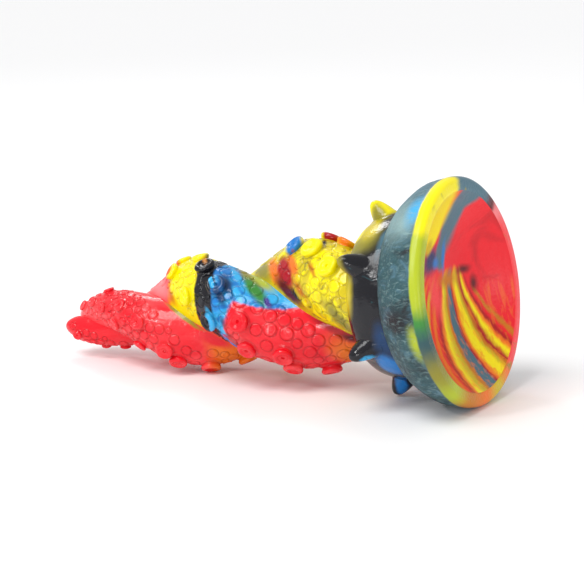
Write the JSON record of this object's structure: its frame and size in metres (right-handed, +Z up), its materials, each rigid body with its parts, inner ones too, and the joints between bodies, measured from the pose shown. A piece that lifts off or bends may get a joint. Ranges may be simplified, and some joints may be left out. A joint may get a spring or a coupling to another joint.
{
  "type": "silicone tentacle form with suction-cup base",
  "caption": "Soft swirl-coloured form lying on its side: two tapering tentacles twisted together, covered in suckers, rising from a horned collar on a deep suction cup.",
  "frame": {"origin": "centre of the bounding box at the table it lies on", "axes": "+X towards the suction cup's mouth, +Z up; the tips point to -X and the long axis leans 9.6 degrees down to the table"},
  "size_m": [0.2088, 0.095, 0.0941],
  "materials": {
    "silicone_red": "glossy, strand of red with pink streaks",
    "silicone_yellow": "glossy yellow",
    "silicone_blue": "glossy blue with green clouds",
    "silicone_black": "glossy black",
    "silicone_teal": "satin dark teal marble"
  },
  "bodies": {
    "base": {"suction_cup": "silicone_teal", "horned_collar": "silicone_black", "horn_1": "silicone_yellow", "horn_2": "silicone_black", "horn_3": "silicone_black", "horn_4": "silicone_black", "horn_5": "silicone_black", "horn_6": "silicone_black", "tentacle_a_root": "silicone_yellow", "tentacle_b_root": "silicone_red", "sucker_a_outer_1": "silicone_yellow", "sucker_a_outer_2": "silicone_yellow", "sucker_a_outer_3": "silicone_yellow", "sucker_a_inner_1": "silicone_yellow", "sucker_a_inner_2": "silicone_yellow", "sucker_a_inner_3": "silicone_yellow", "sucker_b_outer_1": "silicone_red", "sucker_b_outer_2": "silicone_red", "sucker_b_outer_3": "silicone_red", "sucker_b_inner_1": "silicone_red", "sucker_b_inner_2": "silicone_red"},
    "middle": {"tentacle_a_middle": "silicone_yellow", "tentacle_b_middle": "silicone_blue", "sucker_a_outer_4": "silicone_yellow", "sucker_a_outer_5": "silicone_yellow", "sucker_a_outer_6": "silicone_yellow", "sucker_a_outer_7": "silicone_yellow", "sucker_a_inner_4": "silicone_yellow", "sucker_a_inner_5": "silicone_yellow", "sucker_b_outer_4": "silicone_blue", "sucker_b_outer_5": "silicone_blue", "sucker_b_outer_6": "silicone_blue", "sucker_b_outer_7": "silicone_blue", "sucker_b_inner_3": "silicone_blue", "sucker_b_inner_4": "silicone_blue", "sucker_b_inner_5": "silicone_blue"},
    "upper": {"tentacle_a_upper": "silicone_red", "tentacle_b_upper": "silicone_yellow", "sucker_a_outer_8": "silicone_red", "sucker_a_outer_9": "silicone_red", "sucker_a_outer_10": "silicone_red", "sucker_a_inner_6": "silicone_red", "sucker_a_inner_7": "silicone_red", "sucker_a_inner_8": "silicone_red", "sucker_b_outer_8": "silicone_yellow", "sucker_b_outer_9": "silicone_yellow", "sucker_b_outer_10": "silicone_yellow", "sucker_b_inner_6": "silicone_yellow", "sucker_b_inner_7": "silicone_yellow", "sucker_b_inner_8": "silicone_yellow"},
    "tip": {"tentacle_a_tip": "silicone_red", "tentacle_b_tip": "silicone_red", "sucker_a_outer_11": "silicone_red", "sucker_a_inner_9": "silicone_red", "sucker_a_inner_10": "silicone_red", "sucker_a_inner_11": "silicone_red", "sucker_b_outer_11": "silicone_red", "sucker_b_outer_12": "silicone_red", "sucker_b_inner_9": "silicone_red", "sucker_b_inner_10": "silicone_red"}
  },
  "joints": [
    {"name": "lower_bend", "type": "hinge", "parent": "base", "child": "middle", "pos_m": [0.02283, 0, 0.03529], "axis": [-0.1669, 0, 0.986], "range_deg": [-15, 15], "stiffness_Nm_per_rad": 1.8},
    {"name": "middle_bend", "type": "hinge", "parent": "middle", "child": "upper", "pos_m": [-0.01907, 0, 0.02819], "axis": [0, 1, 0], "range_deg": [0, 20], "stiffness_Nm_per_rad": 0.55},
    {"name": "tip_bend", "type": "hinge", "parent": "upper", "child": "tip", "pos_m": [-0.059, 0, 0.02143], "axis": [-0.1669, 0, 0.986], "range_deg": [-25, 25], "stiffness_Nm_per_rad": 0.15}
  ]
}
